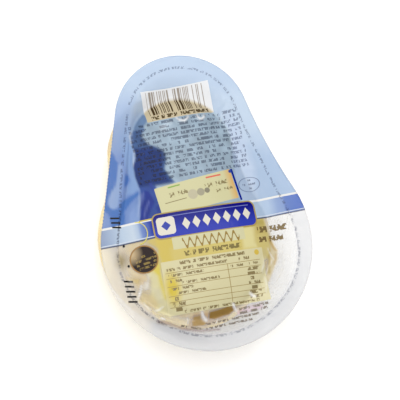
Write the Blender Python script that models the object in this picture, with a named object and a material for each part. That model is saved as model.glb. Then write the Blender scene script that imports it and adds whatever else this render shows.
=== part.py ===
"""Smoked scamorza in its sealed pack, lying on its back with the printed film up.

The pack is a clear formed pocket, filled by the pear-shaped cheese, with a flat
flange round its mouth, and a printed film sealed over it.  +Y runs from the
body of the pear to its head, +Z is up, and Z = 0 is the table.
"""

import math

import bmesh
import bpy
from mathutils import Vector, geometry

MM = 0.001

# The die-cut edge of the flange and film, in millimetres: an arc round the head,
# an arc round the body, and flanks that touch both.
RIM_HEAD_RADIUS = 29.8
RIM_BODY_RADIUS = 45.9
RIM_HEAD_CENTRE = (0.0, 35.4)
RIM_BODY_CENTRE = (0.0, -19.3)
RIM_LEFT_FLANK = 2600.0
RIM_RIGHT_FLANK = 228.0

# The two films are sealed together over this width inside the rim.
SEAL_WIDTH = 6.9

# The pocket where it is widest, a little off the middle of the flange.
POCKET_HEAD_RADIUS = 27.2
POCKET_BODY_RADIUS = 40.9
POCKET_HEAD_CENTRE = (-5.4, 26.3)
POCKET_BODY_CENTRE = (-3.1, -12.3)
POCKET_FLANK = 45.0

# Where the cheese presses flat against the film.
CONTACT_HEAD_RADIUS = 22.6
CONTACT_BODY_RADIUS = 33.0
CONTACT_HEAD_CENTRE = (-3.2, 23.1)
CONTACT_BODY_CENTRE = (-4.9, -17.6)
CONTACT_FLANK = 110.0

# Heights above the table.
SEAL_HEIGHT = 40.0
WIDEST_HEIGHT = 19.5
FLANGE_THICKNESS = 0.7
FILM_THICKNESS = 0.4
FILM_GAP = 0.3
BODY_BULGE = 3.5
HEAD_BULGE = 2.2
BODY_DEPTH = 20.7
HEAD_DEPTH = 16.8
HEAD_DEPTH_STARTS = 3.5
HEAD_DEPTH_REACHED = 30.0

# How deep the lid film is drawn in between the cheese's edge and the seal: the
# same everywhere, and more over the head and below the foot.  It is never more
# than a share of the gap between the edge and the seal.
GROOVE_DEPTH = 1.1
GROOVE_AT_HEAD = 2.3
GROOVE_AT_FOOT = 1.1
GROOVE_HEAD_FROM = 20.0
GROOVE_HEAD_TO = 44.0
GROOVE_FOOT_FROM = -30.0
GROOVE_FOOT_TO = -52.0
GROOVE_SHARE = 0.45
GROOVE_SQUARENESS = 7.0

# Roundness of the pocket's sections: 2 is an ellipse, more is squarer.
SQUARENESS = 2.4
BULGE_SQUARENESS = 2.6
SHOULDER_START = math.radians(28.0)

# Points round the outline, and rings from the middle outwards.
HEAD_STEPS = 28
FLANK_STEPS = 10
BODY_STEPS = 36
BULGE_RINGS = 8
GROOVE_RINGS = 3
SHOULDER_RINGS = 6
BELLY_RINGS = 10

CHEESE_COLOUR = (0.70, 0.50, 0.20, 1.0)
FILM_COLOUR = (0.52, 0.65, 0.86, 1.0)


def arc(centre, start, end, clockwise, steps):
    """Points from start towards end round centre, without the end itself."""
    first = start - centre
    last = end - centre
    begin = math.atan2(first.y, first.x)
    sweep = (math.atan2(last.y, last.x) - begin) % math.tau
    if clockwise:
        sweep -= math.tau
    turns = (begin + sweep * i / steps for i in range(steps))
    return [centre + first.length * Vector((math.cos(t), math.sin(t))) for t in turns]


def pear(head_radius, body_radius, head_centre, body_centre, left_flank, right_flank):
    """Clockwise pairs of a point on the pear's spine and the outline point over it."""
    head = Vector(head_centre)
    body = Vector(body_centre)
    along = (head - body).normalized()
    across = Vector((along.y, -along.x))
    apart = (head - body).length

    def flank(radius, side):
        to_body = body_radius + radius
        to_head = head_radius + radius
        rise = (apart**2 + to_body**2 - to_head**2) / (2.0 * apart)
        centre = body + along * rise + across * side * math.sqrt(to_body**2 - rise**2)
        on_head = head.lerp(centre, head_radius / to_head)
        on_body = body.lerp(centre, body_radius / to_body)
        return centre, on_head, on_body

    left_centre, left_head, left_body = flank(left_flank, -1.0)
    right_centre, right_head, right_body = flank(right_flank, 1.0)
    falling = [head.lerp(body, i / FLANK_STEPS) for i in range(FLANK_STEPS)]
    rising = [body.lerp(head, i / FLANK_STEPS) for i in range(FLANK_STEPS)]
    return (
        [(head, p) for p in arc(head, left_head, right_head, True, HEAD_STEPS)]
        + list(zip(falling, arc(right_centre, right_head, right_body, False, FLANK_STEPS)))
        + [(body, p) for p in arc(body, right_body, left_body, True, BODY_STEPS)]
        + list(zip(rising, arc(left_centre, left_body, left_head, False, FLANK_STEPS)))
    )


def recut(outline, rim):
    """The outline's pairs, each with its edge point where the rim's own spoke crosses it."""
    edges = [edge for _, edge in outline]
    pairs = []
    for (spine, _), (start, end) in zip(outline, rim):
        reach = start.lerp(end, 2.0)
        crossings = (
            geometry.intersect_line_line_2d(start, reach, a, b)
            for a, b in zip(edges, edges[1:] + edges[:1])
        )
        pairs.append((spine, next(point for point in crossings if point)))
    return pairs


def smooth(value, low, high):
    """0 below low, 1 above high, and an even slope between."""
    t = min(max((value - low) / (high - low), 0.0), 1.0)
    return t * t * (3.0 - 2.0 * t)


def ring(outline, reach, height):
    """The outline drawn in towards its spine by reach, each point at height(x, y)."""
    points = [spine.lerp(edge, reach) for spine, edge in outline]
    return [Vector((p.x, p.y, height(p.x, p.y))) for p in points]


def ring_between(inner, outer, share, height):
    """A level ring part of the way from one outline to another."""
    pairs = zip(inner, outer)
    points = [a.lerp(b, share) for (_, a), (_, b) in pairs]
    return [Vector((p.x, p.y, height)) for p in points]


def groove_depths(contact, seal):
    """How deep the lid film dips at each point of the cheese's edge."""
    depths = []
    for (_, edge), (_, sealed) in zip(contact, seal):
        head = smooth(edge.y, GROOVE_HEAD_FROM, GROOVE_HEAD_TO)
        foot = smooth(-edge.y, -GROOVE_FOOT_FROM, -GROOVE_FOOT_TO)
        depth = GROOVE_DEPTH + GROOVE_AT_HEAD * head + GROOVE_AT_FOOT * foot
        depths.append(min(depth, GROOVE_SHARE * (sealed - edge).length))
    return depths


def lid_rings(contact, seal, rim, lift):
    """Rings from the spine, over the cheese, through the groove round it, to the rim."""
    depths = groove_depths(contact, seal)
    rings = []
    for i in range(BULGE_RINGS + 1):
        reach = i / BULGE_RINGS
        share = 1.0 - reach**BULGE_SQUARENESS

        def height(_x, y, share=share):
            head = smooth(y, CONTACT_BODY_CENTRE[1], CONTACT_HEAD_CENTRE[1])
            bulge = BODY_BULGE + (HEAD_BULGE - BODY_BULGE) * head
            return SEAL_HEIGHT + lift + bulge * share

        points = ring(contact, reach, height)
        for point, depth in zip(points, depths):
            point.z -= depth * reach**GROOVE_SQUARENESS
        rings.append(points)
    for i in range(1, GROOVE_RINGS + 1):
        share = i / GROOVE_RINGS
        points = ring_between(contact, seal, share, SEAL_HEIGHT + lift)
        for point, depth in zip(points, depths):
            point.z -= depth * (1.0 - smooth(share, 0.0, 1.0))
        rings.append(points)
    rings.append(ring_between(contact, rim, 1.0, SEAL_HEIGHT + lift))
    return rings


def shoulder_rings(seal, pocket):
    """Rings from the seal's inner edge down to where the pocket is widest."""
    underside = SEAL_HEIGHT - FLANGE_THICKNESS
    rise = (underside - WIDEST_HEIGHT) / math.cos(SHOULDER_START)
    starts = math.sin(SHOULDER_START)
    rings = []
    for i in range(SHOULDER_RINGS + 1):
        turn = SHOULDER_START + (math.pi / 2.0 - SHOULDER_START) * i / SHOULDER_RINGS
        share = (math.sin(turn) - starts) / (1.0 - starts)
        rings.append(ring_between(seal, pocket, share, WIDEST_HEIGHT + rise * math.cos(turn)))
    return rings


def belly_rings(pocket):
    """Rings from the widest part down to the spine, flat where they meet the table."""
    rings = []
    for i in range(1, BELLY_RINGS + 1):
        turn = math.pi / 2.0 * i / BELLY_RINGS
        reach = max(math.cos(turn), 0.0) ** (2.0 / SQUARENESS)
        drop = math.sin(turn) ** (2.0 / SQUARENESS)

        def height(_x, y, drop=drop):
            head = smooth(y, HEAD_DEPTH_STARTS, HEAD_DEPTH_REACHED)
            depth = BODY_DEPTH + (HEAD_DEPTH - BODY_DEPTH) * head
            return max(WIDEST_HEIGHT - depth * drop, 0.0)

        rings.append(ring(pocket, reach if i < BELLY_RINGS else 0.0, height))
    return rings


def loft(name, rings, material, collection):
    """A closed body whose skin runs from the first ring to the last, both on a spine."""
    bm = bmesh.new()
    row = bmesh.ops.create_circle(bm, segments=len(rings[0]), radius=1.0)["verts"]
    edges = list(bm.edges)
    for vert, point in zip(row, rings[0]):
        vert.co = point * MM
    for points in rings[1:]:
        grown = bmesh.ops.extrude_edge_only(bm, edges=edges)["geom"]
        fresh = {item for item in grown if isinstance(item, bmesh.types.BMVert)}
        edges = [
            item
            for item in grown
            if isinstance(item, bmesh.types.BMEdge) and fresh.issuperset(item.verts)
        ]
        row = [
            next(other for other in (e.other_vert(v) for e in v.link_edges) if other in fresh)
            for v in row
        ]
        for vert, point in zip(row, points):
            vert.co = point * MM
    bmesh.ops.remove_doubles(bm, verts=bm.verts, dist=0.001 * MM)
    bmesh.ops.recalc_face_normals(bm, faces=bm.faces)
    mesh = bpy.data.meshes.new(name)
    bm.to_mesh(mesh)
    bm.free()
    mesh.shade_smooth()
    mesh.set_sharp_from_angle(angle=math.radians(40.0))
    mesh.materials.append(material)
    obj = bpy.data.objects.new(name, mesh)
    collection.objects.link(obj)
    return obj


def finish(name, colour, roughness):
    """A plain material with this colour and shine."""
    material = bpy.data.materials.new(name)
    material.use_nodes = True
    shader = material.node_tree.nodes["Principled BSDF"]
    shader.inputs["Base Color"].default_value = colour
    shader.inputs["Roughness"].default_value = roughness
    shader.inputs["Metallic"].default_value = 0.0
    return material


def filled_pocket(contact, seal, rim, pocket, collection):
    """The cheese in its formed pocket, with the flange round the mouth."""
    underside = SEAL_HEIGHT - FLANGE_THICKNESS
    rings = lid_rings(contact, seal, rim, 0.0)
    rings.append(ring_between(contact, rim, 1.0, underside))
    rings += shoulder_rings(seal, pocket)
    rings += belly_rings(pocket)
    material = finish("smoked_cheese_in_clear_film", CHEESE_COLOUR, 0.25)
    return loft("filled_pocket", rings, material, collection)


def printed_film(contact, seal, rim, collection):
    """The lid film, sealed over the flange and lying on the cheese."""
    over = lid_rings(contact, seal, rim, FILM_GAP + FILM_THICKNESS)
    under = lid_rings(contact, seal, rim, FILM_GAP)
    material = finish("printed_lid_film", FILM_COLOUR, 0.2)
    return loft("printed_film", over + under[::-1], material, collection)


def main():
    for obj in list(bpy.data.objects):
        bpy.data.objects.remove(obj, do_unlink=True)
    collection = bpy.data.collections.new("smoked_scamorza")
    bpy.context.scene.collection.children.link(collection)

    rim = pear(
        RIM_HEAD_RADIUS,
        RIM_BODY_RADIUS,
        RIM_HEAD_CENTRE,
        RIM_BODY_CENTRE,
        RIM_LEFT_FLANK,
        RIM_RIGHT_FLANK,
    )
    seal = pear(
        RIM_HEAD_RADIUS - SEAL_WIDTH,
        RIM_BODY_RADIUS - SEAL_WIDTH,
        RIM_HEAD_CENTRE,
        RIM_BODY_CENTRE,
        RIM_LEFT_FLANK + SEAL_WIDTH,
        RIM_RIGHT_FLANK + SEAL_WIDTH,
    )
    pocket = pear(
        POCKET_HEAD_RADIUS,
        POCKET_BODY_RADIUS,
        POCKET_HEAD_CENTRE,
        POCKET_BODY_CENTRE,
        POCKET_FLANK,
        POCKET_FLANK,
    )
    contact = pear(
        CONTACT_HEAD_RADIUS,
        CONTACT_BODY_RADIUS,
        CONTACT_HEAD_CENTRE,
        CONTACT_BODY_CENTRE,
        CONTACT_FLANK,
        CONTACT_FLANK,
    )
    pocket = recut(pocket, rim)
    contact = recut(contact, rim)
    filled_pocket(contact, seal, rim, pocket, collection)
    printed_film(contact, seal, rim, collection)


main()
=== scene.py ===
"""Smoked scamorza sealed in its pack: the cheese, the clear pocket film and the printed lid film.

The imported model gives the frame: +Y from the body of the pear to its head, +Z up out of the
lid film, Z = 0 the table.  Sizes in this script are millimetres, and MM turns them to metres.
"""

import math

import bmesh
import bpy
import numpy as np
from mathutils import Matrix, Vector, noise


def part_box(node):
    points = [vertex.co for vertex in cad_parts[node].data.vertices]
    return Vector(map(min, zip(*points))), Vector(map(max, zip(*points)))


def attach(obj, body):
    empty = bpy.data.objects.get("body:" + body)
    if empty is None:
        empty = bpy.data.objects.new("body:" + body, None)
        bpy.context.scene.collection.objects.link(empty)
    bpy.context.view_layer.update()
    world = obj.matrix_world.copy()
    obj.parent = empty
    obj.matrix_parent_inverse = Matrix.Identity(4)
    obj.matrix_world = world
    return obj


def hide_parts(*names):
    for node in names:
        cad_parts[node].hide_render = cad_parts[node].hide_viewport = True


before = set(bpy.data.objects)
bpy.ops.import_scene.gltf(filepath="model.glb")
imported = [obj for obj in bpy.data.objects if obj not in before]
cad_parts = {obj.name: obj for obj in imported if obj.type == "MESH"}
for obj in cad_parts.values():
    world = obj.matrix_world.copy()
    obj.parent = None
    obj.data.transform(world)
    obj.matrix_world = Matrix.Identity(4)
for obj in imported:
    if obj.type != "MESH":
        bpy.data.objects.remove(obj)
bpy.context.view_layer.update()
MM = 0.001

# ---------------------------------------------------------------- sizes
# The die-cut edge of both films: an arc round the head, an arc round the body, and
# flanks that touch both.  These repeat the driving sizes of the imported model.
RIM = dict(head=29.8, body=45.9, head_at=(0.0, 35.4), body_at=(0.0, -19.3), left=2600.0, right=228.0)
# The inner edge of the seal runs inside the rim, at an even distance.
SEAL_WIDTH = 6.9
# Where the cheese presses on the lid film, and the pocket where it is widest.
CONTACT = dict(head=22.6, body=33.0, head_at=(-3.2, 23.1), body_at=(-4.9, -17.6), left=110.0, right=110.0)
POCKET = dict(head=27.2, body=40.9, head_at=(-5.4, 26.3), body_at=(-3.1, -12.3), left=45.0, right=45.0)

# Heights.  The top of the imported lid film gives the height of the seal.
BODY_BULGE, HEAD_BULGE = 3.5, 2.2
SEAL_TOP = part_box("printed_film")[1].z / MM - BODY_BULGE
FLANGE_UNDERSIDE, FLANGE_TOP = 39.3, 39.95
WIDEST = 19.5
BODY_DEPTH, HEAD_DEPTH = 20.7, 16.8
HEAD_DEPTH_FROM, HEAD_DEPTH_TO = 3.5, 30.0

# How deep the lid film is drawn in between the cheese's edge and the seal: the same all
# round, more towards the top of the head and the foot, and never past a share of the gap.
GROOVE_DEPTH, GROOVE_AT_HEAD, GROOVE_AT_FOOT = 1.1, 2.3, 1.1
GROOVE_HEAD_FROM, GROOVE_HEAD_TO = 20.0, 44.0
GROOVE_FOOT_FROM, GROOVE_FOOT_TO = 30.0, 52.0
GROOVE_SHARE = 0.45

# Roundness of the sections: 2 is an ellipse, more is squarer.
SQUARENESS, BULGE_SQUARENESS, GROOVE_SQUARENESS = 2.4, 2.6, 7
SHOULDER_START = math.radians(28.0)

# Waves of the lid film where it hangs free and where it is sealed, each as height and length.
FREE_WAVE, SEALED_WAVE = (0.16, 14.0), (0.25, 30.0)
RIDGE_HEIGHT, RIDGE_SIZE = 0.75, 6.5
TOOTH = 0.3  # depth of the fine zigzag that the cutting die leaves

LID_THICKNESS = 0.3
LID_GAP = 0.15
POCKET_WALL = 0.2
CHEESE_GAP = 0.1
CHEESE_FLOOR = 0.55
CHEESE_EDGE_IN = 0.3  # how far the cheese's side starts inside the edge of its top
DRAWN_IN = 0.17  # the share by which the cheese falls short of the pocket on the right

# The print sits askew on the pack, and more so from the plate down.
PRINT_TURN, LOWER_TURN, STRIPE_TURN = -1.7, -2.6, -0.57
PRINT_SPLIT = -9.0  # the middle of the stripe, where the two halves of the print meet

# Points round the outline.
HEAD_STEPS, FLANK_STEPS, BODY_STEPS = 140, 68, 204


# ---------------------------------------------------------------- outlines
def arc(centre, start, end, clockwise, steps):
    """Points from start towards end round centre, without the end itself."""
    first, last = start - centre, end - centre
    begin = math.atan2(first.y, first.x)
    sweep = (math.atan2(last.y, last.x) - begin) % math.tau
    if clockwise:
        sweep -= math.tau
    turns = (begin + sweep * i / steps for i in range(steps))
    return [centre + first.length * Vector((math.cos(t), math.sin(t))) for t in turns]


def pear(head, body, head_at, body_at, left, right):
    """The spine and the outline of a pear, as two arrays of points that run clockwise in pairs."""
    top, low = Vector(head_at), Vector(body_at)
    along = (top - low).normalized()
    across = Vector((along.y, -along.x))
    apart = (top - low).length

    def flank(radius, side):
        to_body, to_head = body + radius, head + radius
        rise = (apart**2 + to_body**2 - to_head**2) / (2.0 * apart)
        centre = low + along * rise + across * side * math.sqrt(to_body**2 - rise**2)
        return centre, top.lerp(centre, head / to_head), low.lerp(centre, body / to_body)

    left_centre, left_head, left_body = flank(left, -1.0)
    right_centre, right_head, right_body = flank(right, 1.0)
    edge = (
        arc(top, left_head, right_head, True, HEAD_STEPS)
        + arc(right_centre, right_head, right_body, False, FLANK_STEPS)
        + arc(low, right_body, left_body, True, BODY_STEPS)
        + arc(left_centre, left_body, left_head, False, FLANK_STEPS)
    )
    spine = (
        [top] * HEAD_STEPS
        + [top.lerp(low, i / FLANK_STEPS) for i in range(FLANK_STEPS)]
        + [low] * BODY_STEPS
        + [low.lerp(top, i / FLANK_STEPS) for i in range(FLANK_STEPS)]
    )
    return np.array(spine), np.array(edge)


def inset(sizes, by):
    """The same pear drawn in by an even distance."""
    drawn = dict(sizes)
    for key, change in (("head", -by), ("body", -by), ("left", by), ("right", by)):
        drawn[key] = sizes[key] + change
    return drawn


def draw_in(points, share):
    """Outline points with the right half pulled towards the middle."""
    moved = points.copy()
    moved[:, 0] -= share * np.maximum(moved[:, 0], 0.0)
    return moved


def recut(outline):
    """The outline's points where the rim's own spokes cross it, so that all outlines run in step."""
    start, along = rim_spine[:, None], (rim - rim_spine)[:, None]
    side = np.roll(outline, -1, axis=0) - outline
    gap = outline - start
    cross = along[..., 0] * side[..., 1] - along[..., 1] * side[..., 0]
    ahead = (gap[..., 0] * side[..., 1] - gap[..., 1] * side[..., 0]) / cross
    share = (gap[..., 0] * along[..., 1] - gap[..., 1] * along[..., 0]) / cross
    ahead[(ahead <= 0.0) | (share < -1e-6) | (share > 1.0 + 1e-6)] = np.inf
    return rim_spine + along[:, 0] * ahead.min(axis=1)[:, None]


rim_spine, rim = pear(**RIM)
seal = pear(**inset(RIM, SEAL_WIDTH))[1]
spine, contact = pear(**CONTACT)
contact = recut(contact)
pocket_spine, pocket = pear(**POCKET)
pocket = recut(pocket)


# ---------------------------------------------------------------- relief
def smooth(value, low, high):
    """0 below low, 1 above high, and an even slope between."""
    t = np.clip((value - low) / (high - low), 0.0, 1.0)
    return t * t * (3.0 - 2.0 * t)


def grain(points, size, seed, octaves=2):
    """Soft noise about zero, with lumps of this size in millimetres."""
    shift = Vector((seed * 7.3, seed * 3.1, seed * 5.7))
    places = (Vector((p[0], p[1], p[2] if len(p) > 2 else 0.0)) for p in points.tolist())
    values = (noise.fractal(place / size + shift, 0.9, 2.0, octaves) for place in places)
    return np.fromiter(values, float, len(points))


def pairs(outline):
    """An array of points as a list of x and y pairs."""
    return [tuple(point) for point in outline.tolist()]


def distance(points, line):
    """Millimetres from each point to a line through a few points."""
    nearest = np.full(len(points), 1e9)
    for (ax, ay), (bx, by) in zip(line[:-1], line[1:]):
        run = np.array((bx - ax, by - ay))
        share = ((points[:, :2] - (ax, ay)) @ run) / (run @ run)
        foot = np.array((ax, ay)) + np.clip(share, 0.0, 1.0)[:, None] * run
        nearest = np.minimum(nearest, np.linalg.norm(points[:, :2] - foot, axis=1))
    return nearest


def inside(points, outline, soft):
    """1 inside a closed outline and 0 outside it, with an edge soft millimetres wide."""
    x, y = points[:, 0], points[:, 1]
    within = np.zeros(len(points), bool)
    ring = outline + outline[:1]
    for (ax, ay), (bx, by) in zip(ring[:-1], ring[1:]):
        if ay == by:
            continue
        crosses = (ay > y) != (by > y)
        within ^= crosses & (x < (bx - ax) * (y - ay) / (by - ay) + ax)
    signed = distance(points, ring) * np.where(within, 1.0, -1.0)
    return np.clip(0.5 + signed / soft, 0.0, 1.0)


# Folds of the lid film: the line, how wide it is, how high, and how white its painted glint is.
FOLDS = [
    ([(-31.7, -31.2), (-32.4, -34.2), (-34.2, -37.6)], 0.8, 0.6, 1.0),
    ([(-28.0, -27.6), (-28.9, -31.4), (-30.4, -34.8)], 1.0, 0.5, 0.4),
    ([(-31.9, -38.7), (-31.4, -40.6), (-29.4, -43.4)], 0.8, 0.4, 0.4),
    ([(-36.6, -24.0), (-36.0, -29.0), (-34.8, -34.0)], 1.0, 0.5, 0.15),
    ([(-23.9, -42.2), (-26.0, -43.2), (-28.2, -43.6)], 0.8, 0.5, 0.7),
    ([(-26.4, -46.7), (-24.4, -47.8)], 0.8, 0.4, 0.9),
    ([(-8.5, -46.8), (-8.2, -49.2), (-6.6, -51.8)], 1.2, 0.5, 1.0),
    ([(-14.2, -47.6), (-15.0, -50.2), (-15.8, -51.6)], 0.6, 0.4, 0.6),
    ([(5.4, -45.8), (5.9, -47.9), (7.0, -50.0)], 1.0, 0.5, 0.9),
    ([(13.5, -43.0), (14.6, -44.2), (16.4, -45.2)], 1.0, 0.5, 1.0),
    ([(-2.0, -51.4), (-3.4, -53.6)], 0.6, 0.4, 0.4),
    ([(25.2, -25.0), (25.9, -28.3), (27.3, -31.2)], 0.6, 0.5, 0.5),
    ([(26.4, -23.6), (27.2, -27.0), (27.5, -29.6)], 0.4, 0.5, 0.0),
    ([(23.6, -28.6), (22.2, -31.6), (20.5, -36.0)], 0.6, 0.5, 0.45),
    ([(26.8, -30.6), (24.7, -33.1), (22.3, -36.6)], 0.6, 0.5, 0.35),
    ([(21.4, -36.8), (21.9, -40.4), (20.6, -44.4)], 0.6, 0.4, 0.3),
    ([(-3.2, 37.6), (-1.8, 35.8), (0.4, 35.2), (2.0, 36.2), (2.6, 37.6)], 0.9, 0.4, 0.8),
    ([(6.2, 37.6), (7.0, 35.4), (8.2, 34.9), (9.4, 35.8), (9.8, 37.4)], 0.9, 0.4, 0.8),
    ([(16.4, 34.0), (17.6, 37.4), (20.4, 40.0), (24.0, 42.0)], 1.3, 0.5, 0.0),
    ([(14.4, 31.6), (16.9, 33.6), (19.6, 37.4)], 1.0, 0.4, 0.1),
    ([(-22.6, 35.0), (-24.3, 32.4), (-24.2, 28.4)], 0.7, 0.5, 0.3),
    ([(-23.6, 26.2), (-24.4, 22.4), (-25.6, 18.8)], 0.6, 0.4, 0.35),
    ([(-24.8, 8.0), (-26.0, 2.8), (-27.8, -3.4)], 0.9, 0.4, 0.1),
]


def along_fold(points, line, width):
    """1 on a fold's line, fading over its width and towards both its ends."""
    runs = [math.dist(a, b) for a, b in zip(line[:-1], line[1:])]
    best = np.zeros(len(points))
    passed = 0.0
    for (ax, ay), (bx, by), run in zip(line[:-1], line[1:], runs):
        side = np.array((bx - ax, by - ay))
        share = np.clip(((points[:, :2] - (ax, ay)) @ side) / (side @ side), 0.0, 1.0)
        gap = np.linalg.norm(points[:, :2] - (ax, ay) - share[:, None] * side, axis=1)
        way = (passed + share * run) / sum(runs)
        best = np.maximum(best, np.exp(-((gap / width) ** 2)) * (4.0 * way * (1.0 - way)) ** 0.5)
        passed += run
    return best


def groove_depth():
    """How deep the lid film is drawn in at each point of the cheese's edge."""
    head = smooth(contact[:, 1], GROOVE_HEAD_FROM, GROOVE_HEAD_TO)
    foot = smooth(-contact[:, 1], GROOVE_FOOT_FROM, GROOVE_FOOT_TO)
    gap = np.linalg.norm(seal - contact, axis=1)
    depth = GROOVE_DEPTH + GROOVE_AT_HEAD * head + GROOVE_AT_FOOT * foot
    return np.minimum(depth, GROOVE_SHARE * gap)


def lid_relief(points, reach):
    """Waves, ridges and folds; reach is 1 at the cheese's edge, 2 at the seal and 3 at the rim."""
    x, y = points[:, 0], points[:, 1]
    free = 1.0 - smooth(reach, 2.0, 2.4)
    waves = FREE_WAVE[0] * grain(points, FREE_WAVE[1], 1) * free
    waves += SEALED_WAVE[0] * grain(points, SEALED_WAVE[1], 2) * smooth(reach, 1.8, 2.6)
    # The ridges lie on the slope just outside the cheese, and most of all left of the foot.
    slope = np.exp(-(((reach - 1.35) / 0.55) ** 2))
    rumpled = smooth(-y, 12.0, 30.0) * smooth(-x, 8.0, 24.0) + 0.8 * smooth(-y, 38.0, 48.0)
    ridges = 1.0 - np.abs(grain(points, RIDGE_SIZE, 3, 1)) * 2.2
    relief = waves + RIDGE_HEIGHT * (ridges - 0.5) * slope * (0.25 + 0.75 * np.clip(rumpled, 0.0, 1.0))
    for line, width, height, _ in FOLDS:
        relief += height * along_fold(points, line, width)
    return relief if reach < 2.0 else relief * free


def lid_row(reach, thickness=0.0):
    """One row of the lid film at this reach, thickness below its upper face."""
    if reach <= 1.0:
        flat = spine + (contact - spine) * reach
    elif reach <= 2.0:
        flat = contact + (seal - contact) * (reach - 1.0)
    else:
        flat = seal + (rim - seal) * (reach - 2.0)
    depth = groove_depth()
    if reach <= 1.0:
        head = smooth(flat[:, 1], CONTACT["body_at"][1], CONTACT["head_at"][1])
        bulge = BODY_BULGE + (HEAD_BULGE - BODY_BULGE) * head
        height = bulge * (1.0 - reach**BULGE_SQUARENESS) - depth * reach**GROOVE_SQUARENESS
    else:
        height = -depth * (1.0 - smooth(reach, 1.0, 2.0))
    height = SEAL_TOP + height + lid_relief(flat, reach) - thickness
    return np.column_stack((flat, height))


def pinked(row):
    """The rim row with the fine zigzag of the cutting die along its left edge."""
    out = rim - np.array(RIM["body_at"])
    out /= np.linalg.norm(out, axis=1)[:, None]
    cut = smooth(-rim[:, 0], 22.0, 27.0) * smooth(rim[:, 1], -8.0, -2.0)
    teeth = TOOTH * (np.arange(len(rim)) % 2 - 1) * cut
    row = row.copy()
    row[:, :2] += out * teeth[:, None]
    return row


def shoulder_rows(mouth, widest, top, steps):
    """Rows from the mouth out and down to the widest part."""
    rise = (top - WIDEST) / math.cos(SHOULDER_START)
    starts = math.sin(SHOULDER_START)
    rows = []
    for i in range(steps + 1):
        turn = SHOULDER_START + (math.pi / 2.0 - SHOULDER_START) * i / steps
        share = (math.sin(turn) - starts) / (1.0 - starts)
        flat = mouth + (widest - mouth) * share
        rows.append(np.column_stack((flat, WIDEST + rise * math.cos(turn))))
    return rows


def belly_rows(middle, widest, floor, steps):
    """Rows from the widest part down to the spine, flat where they meet the table."""
    rows = []
    for i in range(1, steps + 1):
        turn = math.pi / 2.0 * i / steps
        reach = max(math.cos(turn), 0.0) ** (2.0 / SQUARENESS) if i < steps else 0.0
        flat = middle + (widest - middle) * reach
        head = smooth(flat[:, 1], HEAD_DEPTH_FROM, HEAD_DEPTH_TO)
        depth = BODY_DEPTH + (HEAD_DEPTH - BODY_DEPTH) * head
        height = np.maximum(WIDEST - depth * math.sin(turn) ** (2.0 / SQUARENESS), floor)
        rows.append(np.column_stack((flat, height)))
    return rows


def pull(outline, middle, by):
    """Outline points moved by this many millimetres towards the spine."""
    away = outline - middle
    return outline - away / np.linalg.norm(away, axis=1)[:, None] * by


# ---------------------------------------------------------------- meshes
def skin(name, rows, materials, slot_of_row=lambda row: 0):
    """A closed skin through rows of points, each row running once round the pack."""
    across, around = len(rows) - 1, len(rows[0])
    bm = bmesh.new()
    bmesh.ops.create_grid(bm, x_segments=around, y_segments=across, size=1.0)
    places = np.array(rows)
    for face in bm.faces:
        row = int((min(v.co.y for v in face.verts) + 1.0) / 2.0 * across + 0.5)
        face.material_index = slot_of_row(row)
        face.smooth = True
    for vert in bm.verts:
        i = int((vert.co.x + 1.0) / 2.0 * around + 0.5) % around
        j = int((vert.co.y + 1.0) / 2.0 * across + 0.5)
        vert.co = places[j, i] * MM
    bmesh.ops.remove_doubles(bm, verts=bm.verts, dist=0.002 * MM)
    bmesh.ops.recalc_face_normals(bm, faces=bm.faces)
    mesh = bpy.data.meshes.new(name)
    bm.to_mesh(mesh)
    bm.free()
    for material in materials:
        mesh.materials.append(material)
    piece = bpy.data.objects.new(name, mesh)
    bpy.context.scene.collection.objects.link(piece)
    return piece


def corners(piece):
    """The piece's points in millimetres."""
    places = np.empty(len(piece.data.vertices) * 3)
    piece.data.vertices.foreach_get("co", places)
    return places.reshape(-1, 3) / MM


def store(piece, name, values):
    """Keeps one number, or one colour with its cover, for each point of the piece."""
    kind, field = ("FLOAT_COLOR", "color") if values.ndim == 2 else ("FLOAT", "value")
    layer = piece.data.attributes.new(name, kind, "POINT")
    layer.data.foreach_set(field, np.ascontiguousarray(values, np.float32).ravel())


# ---------------------------------------------------------------- colours and nodes
def linear(colour):
    """An sRGB hex colour as linear red, green and blue, with 1 for alpha."""
    shares = (int(colour[i : i + 2], 16) / 255.0 for i in (1, 3, 5))
    return (*(c / 12.92 if c <= 0.04045 else ((c + 0.055) / 1.055) ** 2.4 for c in shares), 1.0)


def add(tree, kind, inputs=None, out=0, **settings):
    """Adds a node; inputs gives each socket a value, a hex colour or another node's output."""
    node = tree.nodes.new("ShaderNode" + kind)
    for name, value in settings.items():
        setattr(node, name, value)
    for socket, given in (inputs or {}).items():
        if isinstance(given, bpy.types.NodeSocket):
            tree.links.new(given, node.inputs[socket])
        else:
            node.inputs[socket].default_value = linear(given) if isinstance(given, str) else given
    return node.outputs[out]


def new_material(name, **uniform):
    """A material's node tree and its Principled shader, with the values that are the same all over."""
    material = bpy.data.materials.new(name)
    material.use_nodes = True
    tree = material.node_tree
    shader = tree.nodes["Principled BSDF"]
    for socket, value in uniform.items():
        shader.inputs[socket.replace("_", " ")].default_value = value
    return material, tree, shader


def local(tree, place, centre, size=(1.0, 1.0), turn=0.0):
    """Place seen from centre, turned by degrees and measured in units of size."""
    values = {
        "Vector": place,
        "Location": (*centre, 0.0),
        "Rotation": (0.0, 0.0, math.radians(turn)),
        "Scale": (*size, 1.0),
    }
    return add(tree, "Mapping", values, vector_type="TEXTURE")


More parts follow.
